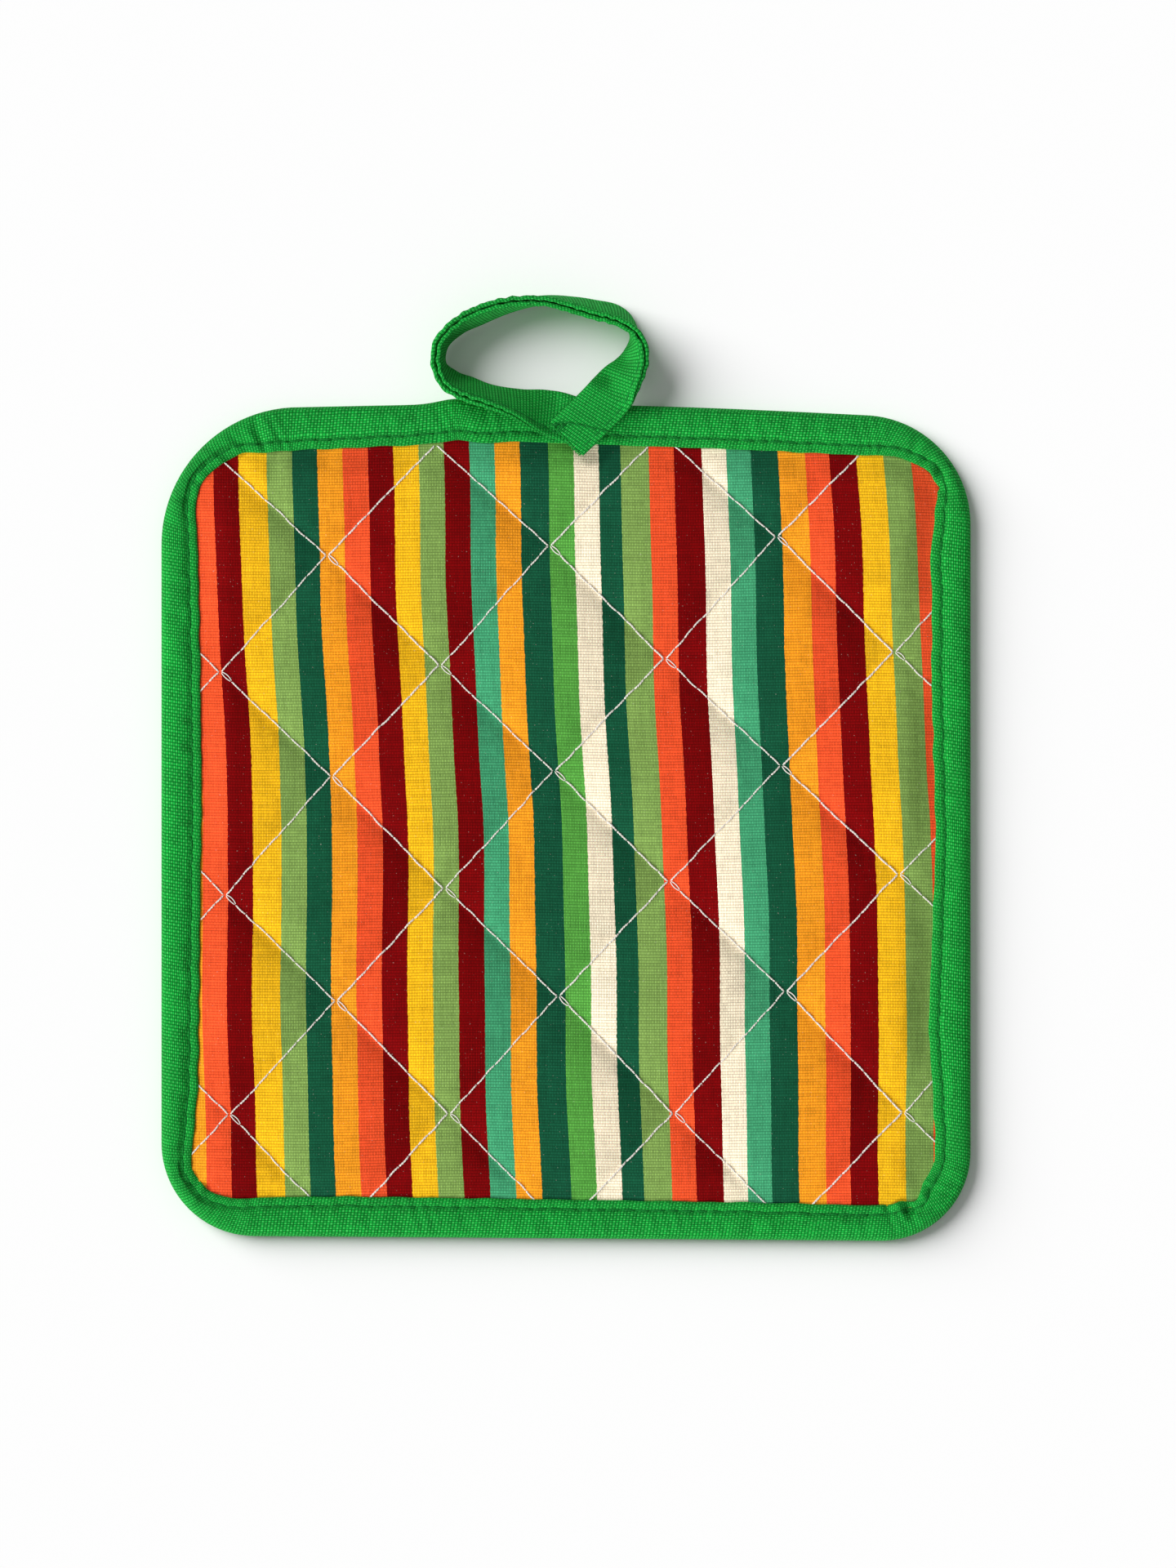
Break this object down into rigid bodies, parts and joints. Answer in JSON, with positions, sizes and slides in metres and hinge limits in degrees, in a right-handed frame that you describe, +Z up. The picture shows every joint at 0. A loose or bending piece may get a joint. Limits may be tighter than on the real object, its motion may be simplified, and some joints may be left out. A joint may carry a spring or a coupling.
{
  "type": "pot holder",
  "caption": "Square quilted cotton pot holder with striped face cloth, folded tape binding round the edge and a tape hanging loop at the top.",
  "frame": {"origin": "under the middle of the whole outline, loop included, on the surface it lies on", "axes": "+Z up out of the striped face, +Y towards the hanging loop, +X to the right as the face is looked at"},
  "size_m": [0.2, 0.2341, 0.0122],
  "materials": {
    "printed_canvas": "matte plain-weave cotton canvas printed with narrow stripes",
    "wadding": "soft white fibre padding",
    "backing_canvas": "matte undyed cotton canvas",
    "binding_canvas": "matte dyed cotton canvas tape",
    "quilting_thread": "slightly glossy white sewing thread",
    "seam_thread": "slightly glossy green sewing thread"
  },
  "bodies": {
    "pad": {"face_cloth": "printed_canvas", "wadding": "wadding", "backing_cloth": "backing_canvas", "edge_binding": "binding_canvas", "loop_root": "binding_canvas", "loop_tail": "binding_canvas", "binding_seam_front": "seam_thread", "binding_seam_back": "seam_thread", "loop_tack_seam": "seam_thread", "quilting_front_1": "quilting_thread", "quilting_front_2": "quilting_thread", "quilting_front_3": "quilting_thread", "quilting_front_4": "quilting_thread", "quilting_front_5": "quilting_thread", "quilting_front_6": "quilting_thread", "quilting_front_left_1": "quilting_thread", "quilting_front_left_2": "quilting_thread", "quilting_front_left_3": "quilting_thread", "quilting_front_right_1": "quilting_thread", "quilting_front_right_2": "quilting_thread", "quilting_front_right_3": "quilting_thread", "quilting_back_1": "quilting_thread", "quilting_back_2": "quilting_thread", "quilting_back_3": "quilting_thread", "quilting_back_4": "quilting_thread", "quilting_back_5": "quilting_thread", "quilting_back_6": "quilting_thread", "quilting_back_left_1": "quilting_thread", "quilting_back_left_2": "quilting_thread", "quilting_back_left_3": "quilting_thread", "quilting_back_right_1": "quilting_thread", "quilting_back_right_2": "quilting_thread", "quilting_back_right_3": "quilting_thread"},
    "loop": {"hanging_loop": "binding_canvas", "loop_edge_seam": "seam_thread"}
  },
  "joints": [
    {"name": "loop_swing", "type": "hinge", "parent": "pad", "child": "loop", "pos_m": [0, 0.0863, 0.0082], "axis": [1, 0, 0], "range_deg": [0, 150]}
  ]
}
